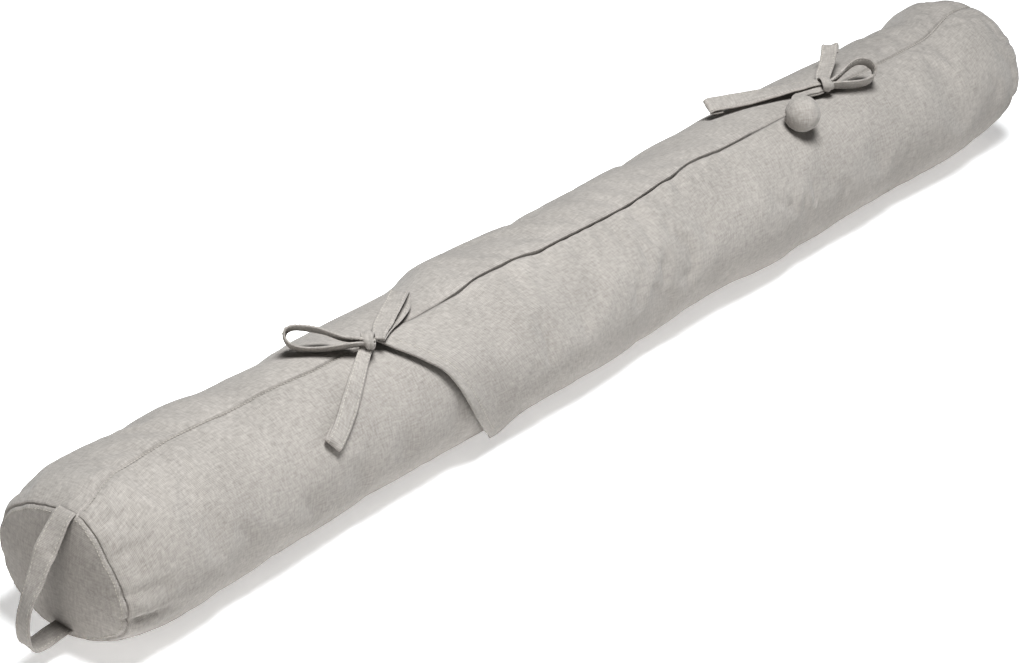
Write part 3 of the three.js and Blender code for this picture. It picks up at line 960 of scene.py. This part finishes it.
# The tail's far edge is turned up, more and more towards its folded end.
FAR_TAIL_TURN = 24
FAR_TAIL_ACROSS = (-0.38, -0.92, 0.0)
FAR_LEFT_TAIL = [
    (253, -15, 108.4), (245, -9.5, 108.0), (234, -4.0, 107.4), (221, 2.0, 107.0), (196, 11.5, 107.4),
    (180, 16.5, 108.8), (169.5, 20.0, 109.6), (167.2, 20.9, 108.5), (169.4, 20.2, 107.5), (177, 17.6, 107.0),
]
FAR_UP_TAIL = [
    (250, -17.5, 105.2), (256, -11.5, 106.0), (263, -6.5, 108.0), (272, -2.6, 110.6), (282, 2.8, 113.8),
    (289.5, 7.6, 116.6), (291.6, 8.7, 116.4), (291.8, 8.0, 115.2), (286, 4.2, 112.8),
]
FAR_UP_ACROSS = (0.47, -0.87, 0.12)
# The puffed loop: its middle, its size, the way across it, and the line of its two strands to the knot.
FAR_PUFF = (204.0, -31.4, 106.6)
FAR_PUFF_RADIUS = 11.8
FAR_PUFF_ACROSS = (0.825, -0.565, 0.0)
FAR_PUFF_STRANDS = [
    (249, -15.8, 105.8), (240, -12.6, 105.0), (229, -10.6, 105.0), (219.5, -15.0, 105.8), (209.5, -24.0, 107.4),
]
STRAND_DROP = 1.7
STRAND_WIDTH = 7.0
# The cloth in the puff in metres, how far its edges close up, its neck's run and pull, its crease height.
PUFF_CLOTH = 0.1
PUFF_STEPS = (48, 22)
PUFF_CLOSED = 0.995
PUFF_NECK_RUN, PUFF_NECK_PULL = 0.2, 0.85
PUFF_CREASE = 0.05


def far_tail_across(point, along, t):
    turned = math.radians(FAR_TAIL_TURN) * eased((t - 0.2) / 0.5)
    return Vector(FAR_TAIL_ACROSS) * math.cos(turned) - Vector((0, 0, math.sin(turned)))


bm = cloth_bmesh()
far_loop = line_in_space(FAR_LOOP)
add_strap(bm, far_loop, facing_across(*FAR_LOOP_ACROSS), drawn_in(12, 0.25, 0.25), steps=72, cup=0.4, seed=5)
far_tail = line_in_space(FAR_LEFT_TAIL)
add_strap(bm, far_tail, far_tail_across, drawn_in(12.5, 0.3), steps=72, cup=0.5, seed=6)
add_knot_band(bm, FAR_KNOT, FAR_LOOP_AXIS, (4.6, 4.2), 8.5, -1.2, 1.9)
finish_tie("far_tie_over_strap", bm, "far_tie_over", far_loop[1] + far_tail[1] + TIE_IN_KNOT)


def add_puff(bm, middle, radius, across, neck):
    """A strap's loop blown up into a little ball, with its two ends gathered in at the neck."""
    middle, neck, across = Vector(middle), Vector(neck), Vector(across)
    out = (neck - middle - across * (neck - middle).dot(across)).normalized()
    up = out.cross(across)

    def place(along, sideways):
        turn = 2 * math.pi * along
        share = 2 * sideways - 1
        gathered = 1 - eased(min(along, 1 - along) / PUFF_NECK_RUN)
        crease = PUFF_CREASE * math.cos(9 * share) * gathered
        crease += PUFF_CREASE * noise.noise(Vector((4 * along, 1.6 * share, 5)))
        ring = radius * math.sqrt(1 - (PUFF_CLOSED * share) ** 2) * (1 + crease)
        spot = middle + across * (share * radius) + (out * math.cos(turn) + up * math.sin(turn)) * ring
        return spot.lerp(neck, PUFF_NECK_PULL * gathered) * MM

    cloth_grid(
        bm, PUFF_STEPS, place,
        lambda along, sideways: (along * 2 * math.pi * radius * MM, sideways * 2.6 * radius * MM),
    )


bm = cloth_bmesh()
far_up = line_in_space(FAR_UP_TAIL)
add_strap(bm, far_up, facing_across(*FAR_UP_ACROSS), drawn_in(11.5, 0.35), steps=64, cup=0.9, seed=7)
for drop in (0, STRAND_DROP):
    far_strand = line_in_space([(x, y, z - drop) for x, y, z in FAR_PUFF_STRANDS])
    add_strap(
        bm, far_strand, facing_across(*FAR_PUFF_ACROSS), lambda t: STRAND_WIDTH, seed=8, stitched=False
    )
add_puff(bm, FAR_PUFF, FAR_PUFF_RADIUS, FAR_PUFF_ACROSS, FAR_PUFF_STRANDS[-1])
finish_tie(
    "far_tie_under_strap", bm, "far_tie_under", far_up[1] + 2 * far_strand[1] + PUFF_CLOTH,
)

# Carry loop: a flat strap of the same folded linen, caught in the seam at the top and at the bottom of
# the near end panel, that hangs out in a bent loop.
CARRY_WIDTH = 14.5
# Place in the frame, and how far the strap is twisted there, in degrees.
CARRY_LOOP = [
    (-449.5, -8, 92.2, 0), (-454.1, -8, 90.0, 0), (-463.6, -8, 79.9, -10), (-470.8, -8, 70.2, -20),
    (-476.9, -8, 59.8, -4), (-482.4, -7.6, 50.6, 0), (-485.6, -6.8, 42.0, 10), (-486.4, -5.8, 33.0, 16),
    (-485.8, -4.8, 24.4, 14), (-483.4, -4.0, 17.6, 10), (-478.6, -3.4, 14.4, 7), (-472.2, -3.0, 13.8, 5),
    (-465.0, -2.4, 14.2, 5), (-458.6, -2.0, 14.4, 5), (-452.0, -2.0, 14.6, 5),
]
carry_line = line_in_space([row[:3] for row in CARRY_LOOP])
carry_twists = [(i / (len(CARRY_LOOP) - 1), row[3]) for i, row in enumerate(CARRY_LOOP)]


def carry_across(point, along, t):
    twist = math.radians(row_value(carry_twists, t))
    across = Vector((0, 1, 0))
    return across * math.cos(twist) + along.cross(across) * math.sin(twist)


bm = cloth_bmesh()
add_strap(bm, carry_line, carry_across, lambda t: CARRY_WIDTH, steps=72, cup=0.4, seed=9)
finish_tie("carry_loop_strap", bm, "carry_loop", carry_line[1])

# Stitching: rows of pale linen thread along the straps' edges, round both end seams, along the closed
# stretches of the top seam and along the near hem of the closing panel.
THREAD_COLOUR = (0.50, 0.475, 0.43, 1)
# Round an end panel: share of the way out, lift in mm and the row's length in metres.
END_STITCH_OUT = 0.957
END_STITCH_LIFT = 0.75
END_STITCH_ROW = 0.3
# Beside the top seam: its closed stretches, how far past the line, lift and pitch in mm.
TOP_SEAM_STRETCHES = ((-446, -226), (262, 446))
TOP_SEAM_PAST = 1.6
TOP_SEAM_LIFT = -0.15
TOP_SEAM_PITCH = 2.4
# On the closing panel: shares of its length and of its width, the top of the row, lift and row length.
PANEL_HEM_ALONG = 0.02
PANEL_HEM_ENDS = (0.98, 0.12)
PANEL_HEM_TOP_DEG = 18
PANEL_HEM_LIFT = 0.1
PANEL_HEM_ROW = 0.11


def end_stitch(side):
    place = end_panel_skin(side)
    return lambda t: place(END_STITCH_OUT, t) + Vector((side * END_STITCH_LIFT * MM, 0, 0))


for side in (-1, 1):
    stitch_along(end_stitch(side), END_STITCH_ROW, lambda t, side=side: Vector((side, 0, 0)))


def top_seam_stitch(start, end):
    def at(t):
        x = mixed(start, end, t)
        angle = row_value(TOP_LINE, x) + TOP_SEAM_PAST / MM_PER_DEG
        point = tube_point(x, angle, TOP_SEAM_LIFT, fine=True)
        return point + cloth_rise(point) * MM * tube_out(angle)

    return at


for start, end in TOP_SEAM_STRETCHES:
    stitch_along(
        top_seam_stitch(start, end), (end - start) * MM,
        lambda t, start=start, end=end: tube_out(row_value(TOP_LINE, mixed(start, end, t))), TOP_SEAM_PITCH,
    )


def panel_hem_out(t):
    return tube_out(mixed(PANEL_LOWEST_DEG, PANEL_HEM_TOP_DEG, mixed(*PANEL_HEM_ENDS, t)))


def panel_hem_stitch(t):
    place = panel_place(PANEL_HEM_ALONG, mixed(*PANEL_HEM_ENDS, t))
    return place + (PANEL_CLOTH + PANEL_HEM_LIFT) * MM * panel_hem_out(t)


stitch_along(panel_hem_stitch, PANEL_HEM_ROW, panel_hem_out)

bm = bmesh.new()
for place, along, out in stitch_spots:
    along = along.normalized()
    across = out.cross(along).normalized()
    out = along.cross(across)
    lie = Matrix((along * STITCH_LENGTH, across * STITCH_THICK, out * STITCH_THICK)).transposed().to_4x4()
    bmesh.ops.create_icosphere(bm, subdivisions=1, radius=0.5 * MM, matrix=Matrix.Translation(place) @ lie)
seam_thread = bpy.data.materials.new("seam_thread")
seam_thread.use_nodes = True
thread_shader = seam_thread.node_tree.nodes["Principled BSDF"]
thread_shader.inputs["Base Color"].default_value = THREAD_COLOUR
thread_shader.inputs["Roughness"].default_value = 0.85
stitching = finished("stitching", bm, seam_thread)
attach(stitching, "root")

# Studio: a plain pale floor, lit a little from below like a light table, soft light from above and a
# weak one from the side of the near end panel.
FLOOR_GLOW = 0.48
FLOOR_COLOUR = (0.83, 0.83, 0.83, 1)
FLOOR_SIZE = 30
SKY_STRENGTH = 0.12
VIEW_GAMMA = 0.70
bm = bmesh.new()
bmesh.ops.create_grid(bm, x_segments=1, y_segments=1, size=FLOOR_SIZE)
pale_floor = bpy.data.materials.new("pale_floor")
pale_floor.use_nodes = True
floor_shader = pale_floor.node_tree.nodes["Principled BSDF"]
floor_shader.inputs["Base Color"].default_value = FLOOR_COLOUR
floor_shader.inputs["Roughness"].default_value = 0.9
floor_shader.inputs["Emission Color"].default_value = (1, 1, 1, 1)
floor_shader.inputs["Emission Strength"].default_value = FLOOR_GLOW
floor = finished("floor", bm, pale_floor)

world = bpy.data.worlds.new("studio")
world.use_nodes = True
sky = world.node_tree.nodes["Background"]
sky.inputs["Color"].default_value = (1, 1, 1, 1)
sky.inputs["Strength"].default_value = SKY_STRENGTH
bpy.context.scene.world = world
bpy.context.scene.view_settings.view_transform = "Standard"
bpy.context.scene.view_settings.gamma = VIEW_GAMMA


def soft_light(name, place, target, size, power, colour):
    light = bpy.data.objects.new(name, bpy.data.lights.new(name, "AREA"))
    light.data.shape = "DISK"
    light.data.size = size
    light.data.energy = power
    light.data.color = colour
    light.location = place
    light.rotation_euler = (Vector(place) - Vector(target)).to_track_quat("Z", "Y").to_euler()
    bpy.context.collection.objects.link(light)


soft_light("overhead", (-0.2, -0.42, 1.8), (-0.1, 0, 0), 0.8, 57, (0.955, 0.98, 1.0))
soft_light("side", (-2.4, -0.5, 0.7), (-0.45, 0, 0.05), 1.4, 10, (1.0, 0.98, 0.95))
